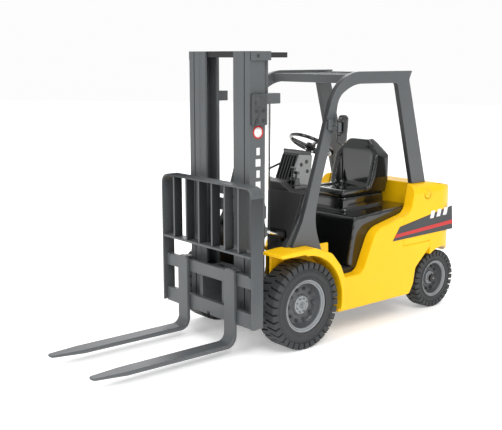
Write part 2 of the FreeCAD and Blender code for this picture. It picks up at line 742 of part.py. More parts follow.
def hollow_top():
    """The hollow behind the upper part of the sweep."""
    return prism("yz", (d.body_x - 1, d.panel_x - 2.2), [(88, 55), (116, 55), (116, 86), (92, 81)])


def floor_pan():
    """The cab floor and cowl in one moulding, with the brackets for the tilt cylinders."""
    narrow = box((-d.arch_in, d.arch_in), (-8, 43.5), (51, d.floor_z))
    wide = box((-d.body_x, d.body_x), (43.5, 66), (51, d.floor_z))
    plates = []
    for low, high in ((-2.9, -1.9), (1.9, 2.9)):
        plates.append(prism("yz", (d.tilt_x + low, d.tilt_x + high),
                            [(17, d.floor_z - 1), (35, d.floor_z - 1), (30.5, 82, 4), (21.5, 82, 4)]))
    hole = drum("x", (d.tilt_rear_y, d.tilt_rear_z), (30, 42), 1.2)
    pair = cut(fuse(*plates), hole)
    wall = prism("yz", (-d.guard_in, d.guard_in),
                 [(-8, d.floor_z - 1), (-8, 76), (10, 121), (13.2, 121), (-4.8, 76), (-4.8, d.floor_z - 1)])
    side_room = box((d.arch_in, 50), (-30, 40), (40, d.fender_z))
    hump = prism("xz", (11, 31),
                 [(-30, 118), (30, 118), (30, 120.8), (15, 127, 2), (-15, 127, 2), (-30, 120.8)])
    lean = prism("yz", (-40, 40), [(9, 117), (10, 121), (12.4, 128), (40, 128), (40, 117)])
    deck = common(hump, lean)
    shelf_room = box((14, 27), (18.5, 32), (110, 124.5))
    levers_room = box((16, 26), (19.6, 26.6), (120, 130))
    front = cut(fuse(wall, deck), side_room, mirrored(side_room), tilt_room(), mirrored(tilt_room()),
                fuse(shelf_room, levers_room), box((-15, 15), (27.9, 60), (100, 130)),
                guard_flare(d.guard_in), mirrored(guard_flare(d.guard_in)))
    node("floor_pan", fuse(narrow, wide, pair, mirrored(pair), front))


def tilt_room():
    """The hole in the cowl that a tilt cylinder swings in."""
    rear = V(0, d.tilt_rear_y.number, d.tilt_rear_z.number)
    along = (V(0, d.tilt_y.number, d.tilt_z.number) - rear).normalize()
    a = rear + along * 20
    b = rear + along * 45
    return rod((d.tilt_x, a.y, a.z), (d.tilt_x, b.y, b.z), 4.6)


def rounded_top(base, radius, level):
    """Round the edges of a block that lie at one level."""
    doc.recompute()
    item = doc.addObject("Part::Fillet", "rounded")
    item.Base = base
    edges = []
    for index, edge in enumerate(base.Shape.Edges, start=1):
        if all(abs(vertex.Point.z - level) < 0.01 for vertex in edge.Vertexes):
            edges.append((index, radius, radius))
    item.Edges = edges
    return item


def counterweight():
    """The cast rear end, with a horn each side that wraps the engine cover."""
    half = d.panel_x
    tail = d.tail
    plan = prism("xy", (48, d.deck_z),
                 [(-half, 100), (half, 100), (half, tail, 32), (-half, tail, 32)])
    side = prism("yz", (-60, 60),
                 [(119, 66), (156, 66), (156, 49), (tail, 49, 4), (tail, 98, 10), (192, 112, 14),
                  (160, d.deck_z, 30), (133.6, d.deck_z, 2), (128.5, 93.8, 10), (119, 91.8)])
    block = common(rounded_top(plan, 9, d.deck_z.number), side)
    bay = box((-d.body_x, d.body_x), (110, 140), (40, 125))
    arch = drum("x", (d.wheelbase, d.rear_radius), (-62, 62), 31.6)
    spine = box((-21, 21), (140, 192), (45, 60))
    room = box((-36, 36), (146, 188), (62, 106))
    node("counterweight", cut(block, bay, arch, spine, room))


def engine_cover():
    """The gloss cover behind the driver's feet, with the seat box on top."""
    x = d.body_x
    w = d.wall
    shell = prism("yz", (-x, x), [(62, d.floor_z), (66, d.floor_z), (66, 51), (140, 51), (140, 99.5),
                                  (68, 95.2, 3)])
    room = prism("yz", (w - x, x - w), [(66, 50), (138, 50), (138, 97.5), (70, 93.3)])
    plan = prism("xy", (50, 101), [(-x, 62, 5), (x, 62, 5), (x, 140), (-x, 140)])
    seat_box = prism("xy", (92, 108), [(-23.5, 79.5, 4), (23.5, 79.5, 4), (23.5, 132, 4), (-23.5, 132, 4)])
    seat_room = box((-21, 21), (82, 129), (90, 106))
    spine = box((-21, 21), (131, 142), (50, 60))
    node("engine_cover", cut(fuse(common(shell, plan), seat_box), room, seat_room, spine))


def seat():
    """A bucket seat in one moulding."""
    side = prism("yz", (-26, 26),
                 [(77.5, 108), (76.5, 111, 1.5), (79, 115, 1.5), (110.5, 113.8, 4), (118.5, 143, 8),
                  (121.5, 154.5, 2), (129.5, 156, 3), (134.5, 140, 6), (133.5, 108)])
    face = prism("xz", (70, 140),
                 [(-23.5, 107), (23.5, 107), (25.5, 120, 6), (25.5, 142, 5), (10.5, 156.3, 5),
                  (-10.5, 156.3, 5), (-25.5, 142, 5), (-25.5, 120, 6)])
    scoop = prism("xz", (70, 119.5),
                  [(-19, 117), (-17, 112.4, 2), (17, 112.4, 2), (19, 117), (19, 160), (-19, 160)])
    bolsters = common(side, face)
    node("seat", cut(bolsters, cut(scoop, box((-30, 30), (60, 82), (100, 170)))))


def column_way():
    """Direction of the steering column, leaning back as it rises."""
    return V(0, 0.51, 0.86).normalize()


def on_column(distance):
    """A point on the column's axis, counted from the middle of the wheel."""
    spot = V(0, d.wheel_y.number, d.wheel_z.number) + column_way() * distance
    return (spot.x, spot.y, spot.z)


def dashboard():
    """The instrument column behind the cowl, with the lever bracket beside it."""
    tower = prism("yz", (-11, 11),
                  [(32, d.floor_z), (31, 110, 8), (33, 128, 4), (40.2, 147.5, 1), (40, 151, 1),
                   (52.5, 148.5, 1), (50, 128, 6), (44, 100, 10), (44, d.floor_z)])
    base = prism("yz", (-14, 14), [(30.5, d.floor_z), (29.5, 118, 2), (48, 118, 2), (46.5, d.floor_z)])
    shelf = box((14, 27), (18.5, 32), (116, 124.5))
    cheeks = []
    for x in (16.4, 20.6, 24.8):
        cheeks.append(prism("yz", (x, x + 0.6),
                            [(d.lever_y - 3, 123.5), (d.lever_y + 3, 123.5), (d.lever_y + 2.4, 130.5, 2),
                             (d.lever_y - 2.4, 130.5, 2)]))
    column = rod(on_column(-60), on_column(-1), 2.4)
    pin = drum("x", (d.lever_y, d.lever_z), (16.6, 25.2), 0.8)
    body = cut(fuse(base, tower, box((10, 15), (28, 34), (112, 123)), shelf, *cheeks), column)
    node("dashboard", fuse(body, pin))


def steering():
    """The steering column and the spoked wheel on top of it."""
    lean = column_way()
    hub = V(*on_column(0))
    at = on_column

    tube = fuse(rod(at(-26.5), at(-5.5), 2.4), rod(at(-5.6), at(-1.5), 1.2))
    node("steering_column", tube)
    turn = FreeCAD.Rotation(V(0, 0, 1), lean)
    rim = doc.addObject("Part::Torus", "rim")
    bind(rim, "Radius1", d.wheel_r)
    rim.Radius2 = 1.55
    place(rim, 0, d.wheel_y, d.wheel_z, turn)
    boss = rod(at(-5.3), at(0.2), 4.0)
    spokes = []
    for angle in (90, 210, 330):
        way = turn.multVec(V(math.cos(math.radians(angle)), math.sin(math.radians(angle)), 0))
        start = hub - lean * 2 + way * 2.5
        end = hub + way * (d.wheel_r.number - 0.4)
        spokes.append(rod((start.x, start.y, start.z), (end.x, end.y, end.z), 1.4))
    hole = rod(at(-6), at(-1.2), 1.25)
    node("steering_wheel", cut(fuse(rim, boss, *spokes), hole))


def levers():
    """Two small T levers beside the instruments."""
    for name, x, top in (("lift_lever", 18.8, 137.5), ("tilt_lever", 23.0, 134.5)):
        hub = drum("x", (d.lever_y, d.lever_z), (x - 1.6, x + 1.6), 2.0)
        stem = rod((x, d.lever_y, 128.6), (x, d.lever_y + 1.2, top), 0.85)
        grip = drum("x", (d.lever_y + 1.2, top), (x - 2.0, x + 2.0), 1.3)
        hole = drum("x", (d.lever_y, d.lever_z), (x - 2, x + 2), 0.85)
        node(name, cut(fuse(hub, stem, grip), hole))


def grab_handle():
    """A wire loop from the cowl to the far side of the instruments."""
    low = (-17, 26, 126.5)
    knee = (-17, 27.5, 133)
    top = (-12, 36, 137.5)
    parts = [rod(low, knee, 0.9), rod(knee, top, 0.9), rod(top, (-10.5, 38.5, 138.8), 0.9)]
    for spot in (knee, top):
        ball = doc.addObject("Part::Sphere", "ball")
        ball.Radius = 0.9
        parts.append(place(ball, *spot))
    trim = fuse(box((-11, 0), (30, 50), (110, 145)), box((-20, -14), (20, 30), (120, 127)))
    node("grab_handle", cut(fuse(*parts), trim))


def guard_flare(outer):
    """The foot of a guard side, which widens inwards as it goes down."""
    side = prism("yz", (38, outer), [(-7.6, d.fender_z), (8.9, 108), (11, 108), (0, d.fender_z)])
    face = prism("xz", (-20, 20), [(40, 79), (d.guard_in + 1, 79), (d.guard_in + 1, 108),
                                   (d.guard_in - 0.4, 108)])
    return common(side, face)


def guard_sides():
    """The sides of the overhead guard, each with the arm of its mirror."""
    frame = prism("yz", (d.guard_in, d.guard_out),
                  [(-4.3, d.fender_z), (5.1, 97.8, 10), (9.7, 110.3, 20), (42.8, d.roof_z, 36),
                   (133, d.roof_z), (129.5, 208.2, 3), (155.4, d.deck_z), (137.1, d.deck_z),
                   (114, 205.5, 3), (62, 205.7, 36), (44.5, 196, 15), (41.4, 177.8, 20),
                   (26.2, 128, 30), (18.6, 98.5, 45), (28, 73.5), (10, d.fender_z)])
    clamp = box((d.guard_out, d.guard_out + 2.4), (31, 36.5), (170.5, 178.5))
    upper = rod((d.guard_out + 1, 33.5, 176.6), (54.6, 39, 173.2), 1.1)
    lower = rod((d.guard_out + 1, 33.5, 172.2), (54.6, 39, 171.4), 1.0)
    eye = drum("z", (55, 39.6), (168.5, 176.5), 1.9)
    hole = drum("z", (55, 39.6), (165, 180), 0.8)
    sides("guard_side", cut(fuse(frame, guard_flare(d.guard_in + 0.5), clamp, upper, lower, eye), hole))


def mirrors():
    """Door mirrors that swivel on the arm's post."""
    turn = FreeCAD.Rotation(V(0, 0, 1), 25)
    plate = prism("xz", (2.6, 6.0), [(-3.4, 158.6, 3), (4.6, 158.6, 3.5), (6.2, 182.1, 3.5), (-1.8, 182.1, 3)])
    place(plate, 55, 39.6, 0, turn)
    post = drum("z", (55, 39.6), (166.2, 178.6), 0.75)
    arms = []
    for z in (166.2, 177):
        arm = doc.addObject("Part::Box", "arm")
        arm.Length = 3
        arm.Width = 4.5
        arm.Height = 1.8
        shift = turn.multVec(V(-1.5, -1.2, 0))
        arms.append(place(arm, 55 + shift.x, 39.6 + shift.y, z, turn))
    sides("mirror", fuse(plate, post, *arms))


def roof_bars():
    """The grille of the overhead guard."""
    x = d.guard_in
    bars = [box((-x, x), (58.5, 63), (206, 213)), box((-x, x), (121, 127), (206, 214))]
    for spot in (-36, -24, -12, 0, 12, 24, 36):
        bars.append(box((spot - 1.5, spot + 1.5), (63, 121), (209, 213)))
    node("roof_bars", group(*bars))


# ---------------------------------------------------------------- inside the truck

def inside_pieces():
    """Battery, its door, circuit board, motor, servo, switch and screws."""
    node("battery_pack", box((-24, 24), (64, 116), (24, 40)))
    door = fuse(box((-30, 30), (60, 120), (22, 24)), box((-8, 8), (56, 60), (24, 25.6)),
                box((-8, 8), (60, 62), (23, 25.6)))
    node("battery_door", door)
    x = d.body_x - d.wall
    node("circuit_board", box((-x, x), (66, 110), (46, 47.6)))
    motor = fuse(drum("x", (28, 33.5), (-18, 14), 9.5), box((14, 30), (19, 37), (24, 43)),
                 drum("x", (28, 33.5), (-21, -18), 3))
    node("drive_motor", motor)
    servo = fuse(box((-10, 10), (134, 154), (24, 36)), drum("z", (0, 149), (22, 24), 3))
    node("steering_servo", servo)
    slider = fuse(box((36, 40), (72, 78), (20.6, 24.2)), box((35, 41), (71, 79), (24.2, 26)))
    node("power_switch", slider)
    screws = []
    for y in (50, 126):
        screw = fuse(drum("z", (42, y), (20.6, 22), 2.4), drum("z", (42, y), (22, 24.5), 1.2))
        screws += [screw, mirrored(screw)]
    node("chassis_screws", group(*screws))


# ---------------------------------------------------------------- make, check, write

outer_channels()
outer_crossmembers()
side_plate()
mast_bolts()
mast_brackets()
hydraulic_lines()
lift_cylinders()
tilt_pins()
inner_channels()
inner_crosshead()
lift_rods()
inner_mast_guides()
carriage_plate()
load_backrest()
carriage_guides()
forks()
tilt_cylinders()
front_wheels()
rear_wheels()
front_axle()
rear_axle_beam()
knuckles()
tie_bar()
pivot_pins()
chassis_frame()
side_panels()
floor_pan()
counterweight()
engine_cover()
seat()
dashboard()
steering()
levers()
grab_handle()
guard_sides()
mirrors()
roof_bars()
inside_pieces()
doc.recompute()

for item in doc.Objects:
    if "Invalid" in item.State or "Error" in item.State:
        raise RuntimeError("%s does not compute" % item.Label)
for name, item in NODES.items():
    shape = item.Shape
    if shape.isNull() or not shape.isValid() or not shape.Solids:
        raise RuntimeError("%s has no valid solid" % name)

os.makedirs("parts", exist_ok=True)
for name, item in NODES.items():
    item.Shape.exportStep(os.path.join("parts", name + ".step"))
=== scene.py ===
"""Looks of the toy forklift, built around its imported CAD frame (metres, forks towards -Y)."""
import json
import math

import bmesh
import bpy
from mathutils import Matrix, Vector


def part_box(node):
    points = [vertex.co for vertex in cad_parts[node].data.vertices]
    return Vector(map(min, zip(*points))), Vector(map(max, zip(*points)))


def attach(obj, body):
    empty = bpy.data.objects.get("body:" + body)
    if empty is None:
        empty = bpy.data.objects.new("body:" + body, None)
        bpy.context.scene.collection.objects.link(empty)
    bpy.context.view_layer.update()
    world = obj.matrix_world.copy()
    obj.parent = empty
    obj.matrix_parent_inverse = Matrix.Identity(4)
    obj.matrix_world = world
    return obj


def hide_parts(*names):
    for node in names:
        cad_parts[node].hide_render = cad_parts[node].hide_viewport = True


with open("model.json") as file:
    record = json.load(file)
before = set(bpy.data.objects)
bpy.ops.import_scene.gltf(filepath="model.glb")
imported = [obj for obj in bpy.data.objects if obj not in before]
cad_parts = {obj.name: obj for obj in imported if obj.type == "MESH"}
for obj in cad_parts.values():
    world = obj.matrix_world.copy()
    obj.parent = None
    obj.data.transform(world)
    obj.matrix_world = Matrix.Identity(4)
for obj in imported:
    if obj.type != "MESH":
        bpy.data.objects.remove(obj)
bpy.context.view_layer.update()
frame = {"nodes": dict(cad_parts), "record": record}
nodes = frame["nodes"]
body_of = {}
for body, members in frame["record"]["behaviour"]["bodies"].items():
    for member in members:
        body_of[member] = body

record_slot = {part["node"]: part["material_slot"] for part in frame["record"]["subparts"]}

MM = 0.001

# camera: millimetres of lens, metres from the front axle, degrees
LENS = 62.55
SENSOR = 36
CAMERA_LEFT = 0.53814
CAMERA_FORWARD = 0.45614
CAMERA_HEIGHT = 0.22763
LOOK_DOWN = 10.32
LOOK_ROUND = 50.02

# light of the surroundings, and the glow that keeps the floor and the wall white
WORLD_LIGHT = 0.62
FLOOR_GLOW = 0.3
WALL_GLOW = 0.98

# wheels
FRONT_LUGS = 34
REAR_LUGS = 30
RIM_NUTS = 10
HUB_BOLTS = 8
FRONT_HUB = 7.2 * MM
REAR_HUB = 5.6 * MM
TREAD_DEPTH = 1.9 * MM
AXLE_RADIUS = 3 * MM

# widths of rounded edges
THIN_EDGE = 0.35
BOLD_EDGE = 0.6
BODY_EDGE = 0.9

# side print: (y, z) outlines in millimetres, y from PRINT_START
PRINT_START = 3.6 * MM
PANEL = ((101, 72), (110, 83.5), (181, 94.5), (183, 73))
STRIPE = ((103, 74.5), (105.5, 77.5), (182.2, 81.5), (182.5, 78))
BAR_COUNT = 3
BAR_PITCH = 9
BAR_RISE = 0.055

# plain marks on the mast channel
MARK_LINE = 29.6 * MM
RING_HEIGHT = 0.1712
RING_INNER = 3.9 * MM
RING_OUTER = 5 * MM
BARS_TOP = 0.1595
BARS_PITCH = 8.6 * MM


def centre_of(name):
    low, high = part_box(name)
    return (low + high) / 2


AXLE = centre_of("front_rim_left")
REAR = centre_of("rear_rim_left")
AXLE_Y = AXLE.y


# ---------------------------------------------------------------- camera, light, floor

def add_camera():
    data = bpy.data.cameras.new("camera")
    data.sensor_width = SENSOR
    data.lens = LENS
    camera = bpy.data.objects.new("camera", data)
    camera.location = (CAMERA_LEFT, AXLE_Y - CAMERA_FORWARD, CAMERA_HEIGHT)
    camera.rotation_euler = (math.radians(90 - LOOK_DOWN), 0, math.radians(LOOK_ROUND))
    bpy.context.scene.collection.objects.link(camera)
    bpy.context.scene.camera = camera


def add_light(name, spot, size, power):
    """A round soft box that faces the truck."""
    data = bpy.data.lights.new(name, "AREA")
    data.shape = "DISK"
    data.size = size
    data.energy = power
    light = bpy.data.objects.new(name, data)
    light.location = spot
    facing = Vector((0, 0, 0.1)) - Vector(spot)
    light.rotation_euler = facing.to_track_quat("-Z", "Y").to_euler()
    bpy.context.scene.collection.objects.link(light)


def add_lights():
    add_light("key", (1.3, -0.5, 1.5), 1.0, 17)
    add_light("front", (0.1, -1.6, 1.0), 1.0, 9)
    add_light("top", (-0.2, 0.3, 2.0), 1.2, 11)
    add_light("back", (-1.4, 1.1, 1.0), 1.0, 5)


def add_world():
    world = bpy.data.worlds.new("world")
    world.use_nodes = True
    back = world.node_tree.nodes["Background"]
    back.inputs["Color"].default_value = (1, 1, 1, 1)
    back.inputs["Strength"].default_value = WORLD_LIGHT
    bpy.context.scene.world = world
    bpy.context.scene.view_settings.view_transform = "Standard"


def add_floor():
    mesh = bpy.data.meshes.new("floor")
    mesh.from_pydata([(-6, -6, 0), (6, -6, 0), (6, 6, 0), (-6, 6, 0)], [], [(0, 1, 2, 3)])
    floor = bpy.data.objects.new("floor", mesh)
    white = material("floor_white", (0.95, 0.95, 0.95), 0.7)
    shader = white.node_tree.nodes["Principled BSDF"]
    shader.inputs["Emission Color"].default_value = (1, 1, 1, 1)
    shader.inputs["Emission Strength"].default_value = FLOOR_GLOW
    floor.data.materials.append(white)
    bpy.context.scene.collection.objects.link(floor)
    add_backdrop()


def add_backdrop():
    """A plain white wall well behind the truck."""
    glow = bpy.data.materials.new("backdrop_white")
    glow.use_nodes = True
    shader = glow.node_tree.nodes["Principled BSDF"]
    shader.inputs["Emission Color"].default_value = (1, 1, 1, 1)
    shader.inputs["Emission Strength"].default_value = WALL_GLOW
    shader.inputs["Base Color"].default_value = (0, 0, 0, 1)
    shader.inputs["Specular IOR Level"].default_value = 0
    mesh = bpy.data.meshes.new("backdrop")
    mesh.from_pydata([(-5, 0.6, 0), (0.6, 5, 0), (0.6, 5, 4), (-5, 0.6, 4)], [], [(0, 1, 2, 3)])
    wall = bpy.data.objects.new("backdrop", mesh)
    wall.data.materials.append(glow)
    bpy.context.scene.collection.objects.link(wall)


# ---------------------------------------------------------------- materials

def material(name, colour, roughness, metallic=0.0, coat=0.0, grain=0.0, grain_size=0.001, mottle=0.0,
             worn=0.0, specular=0.5):
    """A surface with fine grain, an uneven roughness and a faint cloudiness in its colour."""
    mat = bpy.data.materials.new(name)
    mat.use_nodes = True
    tree = mat.node_tree
    shader = tree.nodes["Principled BSDF"]
    shader.inputs["Base Color"].default_value = (*colour, 1)
    shader.inputs["Roughness"].default_value = roughness
    shader.inputs["Metallic"].default_value = metallic
    shader.inputs["Coat Weight"].default_value = coat
    shader.inputs["Coat Roughness"].default_value = 0.06
    shader.inputs["Specular IOR Level"].default_value = specular
    place = tree.nodes.new("ShaderNodeTexCoord")
    if grain:
        noise = tree.nodes.new("ShaderNodeTexNoise")
        noise.inputs["Scale"].default_value = 1 / grain_size
        noise.inputs["Detail"].default_value = 3
        tree.links.new(place.outputs["Object"], noise.inputs["Vector"])
        bump = tree.nodes.new("ShaderNodeBump")
        bump.inputs["Strength"].default_value = grain
        bump.inputs["Distance"].default_value = 0.0003
        tree.links.new(noise.outputs["Fac"], bump.inputs["Height"])
        tree.links.new(bump.outputs["Normal"], shader.inputs["Normal"])
    if mottle:
        cloud = tree.nodes.new("ShaderNodeTexNoise")
        cloud.inputs["Scale"].default_value = 60
        cloud.inputs["Detail"].default_value = 4
        tree.links.new(place.outputs["Object"], cloud.inputs["Vector"])
        spread = tree.nodes.new("ShaderNodeMapRange")
        spread.inputs["To Min"].default_value = max(roughness - mottle, 0.02)
        spread.inputs["To Max"].default_value = roughness + mottle
        tree.links.new(cloud.outputs["Fac"], spread.inputs["Value"])
        tree.links.new(spread.outputs["Result"], shader.inputs["Roughness"])
    if worn:
        paint_patches(tree, place, shader, colour, worn)
    return mat


def paint_patches(tree, place, shader, colour, worn):
    """A faint cloudiness in the colour, as moulded and painted toys have."""
    cloud = tree.nodes.new("ShaderNodeTexNoise")
    cloud.inputs["Scale"].default_value = 25
    cloud.inputs["Detail"].default_value = 5
    tree.links.new(place.outputs["Object"], cloud.inputs["Vector"])
    ramp = tree.nodes.new("ShaderNodeValToRGB")
    ramp.color_ramp.elements[0].position = 0.35
    ramp.color_ramp.elements[1].position = 0.7
    ramp.color_ramp.elements[0].color = (*[value * (1 - worn) for value in colour], 1)
    ramp.color_ramp.elements[1].color = (*[min(value * (1 + worn), 1) for value in colour], 1)
    tree.links.new(cloud.outputs["Fac"], ramp.inputs["Fac"])
    tree.links.new(ramp.outputs["Color"], shader.inputs["Base Color"])


def make_materials():
    return {
        "grey_paint": material("grey_paint", (0.086, 0.093, 0.098), 0.4, grain=0.1, grain_size=0.0005,
                               mottle=0.06, worn=0.05),
        "yellow_plastic": material("yellow_plastic", (0.98, 0.56, 0.002), 0.34, grain=0.02,
                                   grain_size=0.0008, mottle=0.04, worn=0.03, specular=0.3),
        # a darker grey for the mast bolts; on the backrest flanks and the guard's front faces it is
        # painted shade
        "grey_dark_and_painted_shade": material("grey_dark_and_painted_shade", (0.03, 0.033, 0.035), 0.38, grain=0.1, grain_size=0.0005,
                              mottle=0.06, worn=0.05),
        "grey_mid": material("grey_mid", (0.055, 0.06, 0.063), 0.36, grain=0.1, grain_size=0.0005,
                             mottle=0.06, worn=0.05),
        "black_gloss": material("black_gloss", (0.006, 0.007, 0.007), 0.14, coat=0.7, mottle=0.04),
        "black_matte": material("black_matte", (0.012, 0.012, 0.013), 0.5, grain=0.2, grain_size=0.0006,
                                worn=0.1),
        "rubber": material("rubber", (0.028, 0.03, 0.032), 0.6, grain=0.3, grain_size=0.0008, mottle=0.08,
                           worn=0.12),
        "steel": material("steel", (0.55, 0.55, 0.56), 0.3, 1.0, mottle=0.08, worn=0.05),
        "chrome": material("chrome", (0.9, 0.9, 0.91), 0.08, 1.0, mottle=0.03, worn=0.02),
        "board_green": material("board_green", (0.01, 0.16, 0.05), 0.4, mottle=0.05, worn=0.1),
        "motor_metal": material("motor_metal", (0.55, 0.55, 0.57), 0.35, 1.0, mottle=0.06, worn=0.05),
        "rim_dark": material("rim_dark", (0.075, 0.08, 0.086), 0.38, grain=0.05, mottle=0.05, worn=0.06),
        "rim_light": material("rim_light", (0.3, 0.315, 0.33), 0.35, grain=0.05, mottle=0.05, worn=0.05),
        "panel_grey": material("panel_grey", (0.035, 0.037, 0.04), 0.4, mottle=0.04, worn=0.04),
        "stripe_red": material("stripe_red", (0.55, 0.012, 0.01), 0.35, mottle=0.04, worn=0.04),
        "print_white": material("print_white", (0.85, 0.85, 0.85), 0.4, mottle=0.03, worn=0.02),
        "dash_grey": material("dash_grey", (0.3, 0.31, 0.31), 0.5, grain=0.5, grain_size=0.0012, worn=0.1),
    }


def paint_nodes():
    """Give every CAD node the material of its slot."""
    slots = dict(record_slot)
    slots["lift_cylinders"] = "chrome"
    slots["lift_rods"] = "grey_paint"
    slots["hydraulic_lines"] = "black_matte"
    slots["side_plate"] = "grey_mid"
    slots["mast_bolts"] = "grey_dark_and_painted_shade"
    slots["mirror_left"] = "black_gloss"
    slots["mirror_right"] = "black_gloss"
    for name, item in nodes.items():
        item.data.materials.clear()
        item.data.materials.append(materials[slots[name]])
    return slots


# ---------------------------------------------------------------- helpers

def add_piece(name, form, look, body, smooth=True):
    """Make an object from a bmesh, give it a material and let it ride on a body."""
    bmesh.ops.recalc_face_normals(form, faces=form.faces)
    mesh = bpy.data.meshes.new(name)
    form.to_mesh(mesh)
    form.free()
    for face in mesh.polygons:
        face.use_smooth = smooth
    mesh.materials.append(materials[look])
    piece = bpy.data.objects.new(name, mesh)
    bpy.context.scene.collection.objects.link(piece)
    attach(piece, body)
    return piece


def round_edges(piece, width, segments=2, angle=32):
    """Round every edge that is sharper than the angle, in degrees."""
    edge = piece.modifiers.new("edges", "BEVEL")
    edge.width = width
    edge.segments = segments
    edge.limit_method = "ANGLE"
    edge.angle_limit = math.radians(angle)
    edge.use_clamp_overlap = False
    edge.harden_normals = True
    shade = piece.modifiers.new("shade", "WEIGHTED_NORMAL")
    shade.keep_sharp = True
    return piece


def skin(name, width, segments=2):
    """Stand a copy with rounded edges in the place of a CAD node."""
    form = bmesh.new()
    form.from_mesh(nodes[name].data)
    bmesh.ops.remove_doubles(form, verts=form.verts, dist=0.00002)
    bmesh.ops.dissolve_limit(form, angle_limit=math.radians(1.5), verts=form.verts, edges=form.edges)
    look = slot_of[name]
    piece = add_piece(name + "_skin", form, look, body_of[name])
    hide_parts(name)
    return round_edges(piece, width, segments)


def lathe(form, profile, centre, steps=96):
    """Turn a closed profile of (x, radius) points about the X axis through a centre."""
    rings = []
    for step in range(steps):
        angle = 2 * math.pi * step / steps
        ring = []
        for x, radius in profile:
            spot = (x, centre.y + radius * math.cos(angle), centre.z + radius * math.sin(angle))
            ring.append(form.verts.new(spot))
        rings.append(ring)
    count = len(profile)
    for step in range(steps):
        here, there = rings[step], rings[(step + 1) % steps]
        for index in range(count):
            after = (index + 1) % count
            form.faces.new((here[index], here[after], there[after], there[index]))


def prism_x(form, outline, low, high):
    """Push a closed outline of (y, z) points from x low to x high."""
    near = [form.verts.new((low, y, z)) for y, z in outline]
    far = [form.verts.new((high, y, z)) for y, z in outline]
    form.faces.new(near)
    form.faces.new(list(reversed(far)))
    count = len(outline)
    for index in range(count):
        after = (index + 1) % count
        form.faces.new((near[index], far[index], far[after], near[after]))


def block(form, low, high):
    """Fill the box between two corners."""
    outline = [(low[1], low[2]), (high[1], low[2]), (high[1], high[2]), (low[1], high[2])]
    prism_x(form, outline, low[0], high[0])


def flip_side(form, sign):
    """Mirror a form made for the left side when it is for the right."""
    if sign < 0:
        bmesh.ops.transform(form, matrix=Matrix.Scale(-1, 4, Vector((1, 0, 0))), verts=form.verts)


SIDES = (("left", 1), ("right", -1))


# ---------------------------------------------------------------- wheels

def lug(form, centre, low, high, base, top, start, span, lean):
    """One tread block: it leans round the wheel and wraps over the shoulder."""
    drop = (top - base) * 2.2
    cut = 0.9 * MM
    outward = 1 if high > low else -1
    section = [(low, base), (low, top), (high - cut * outward, top), (high, top - cut),
               (high, top - drop), (high - 1.6 * MM * outward, top - drop - 1.2 * MM),
               (high - 3 * MM * outward, base)]
    faces = []
    for edge in (0, 1):
        ring = []
        for x, radius in section:
            part = (x - low) / (high - low)
            angle = start + span * edge + lean * part
            spot = (x, centre.y + radius * math.cos(angle), centre.z + radius * math.sin(angle))
            ring.append(form.verts.new(spot))
        faces.append(ring)
    form.faces.new(faces[0])
    form.faces.new(list(reversed(faces[1])))
    for index in range(len(section)):
        after = (index + 1) % len(section)
        form.faces.new((faces[0][index], faces[1][index], faces[1][after], faces[0][after]))


def add_tyre(name, rim_name, sign, lugs):
    """A solid tyre: stepped sidewalls and two staggered rows of deep shoulder blocks."""
    low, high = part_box(name)
    centre = (low + high) / 2
    inside, outside = sorted((abs(low.x), abs(high.x)))
    radius = (high.z - low.z) / 2
    rim = (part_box(rim_name)[1].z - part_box(rim_name)[0].z) / 2
    wall = radius - rim
    base = radius - TREAD_DEPTH
    half = [(outside - 0.2 * MM, rim - 0.3 * MM), (outside - 0.2 * MM, rim + 0.1 * wall),
            (outside - 0.9 * MM, rim + 0.16 * wall), (outside - 0.5 * MM, rim + 0.42 * wall),
            (outside - 1.0 * MM, rim + 0.46 * wall), (outside - 1.2 * MM, rim + 0.62 * wall),
            (outside - 2.4 * MM, base - 0.5 * MM), (outside - 3.4 * MM, base)]
    middle = (inside + outside) / 2
    other = [(2 * middle - x, r) for x, r in reversed(half)]
    form = bmesh.new()
    lathe(form, half + other, centre, 128)
    pitch = 2 * math.pi / lugs
    root = base - 0.3 * MM
    span = pitch * 0.78
    lean = pitch * 0.3
    for index in range(lugs):
        lug(form, centre, middle - 0.4 * MM, outside, root, radius, index * pitch, span, lean)
        lug(form, centre, middle + 0.4 * MM, inside, root, radius, (index + 0.5) * pitch, span, lean)
    flip_side(form, sign)
    piece = add_piece(name + "_tread", form, "rubber", body_of[name])
    round_edges(piece, 0.25 * MM, 1, 38)
    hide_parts(name)


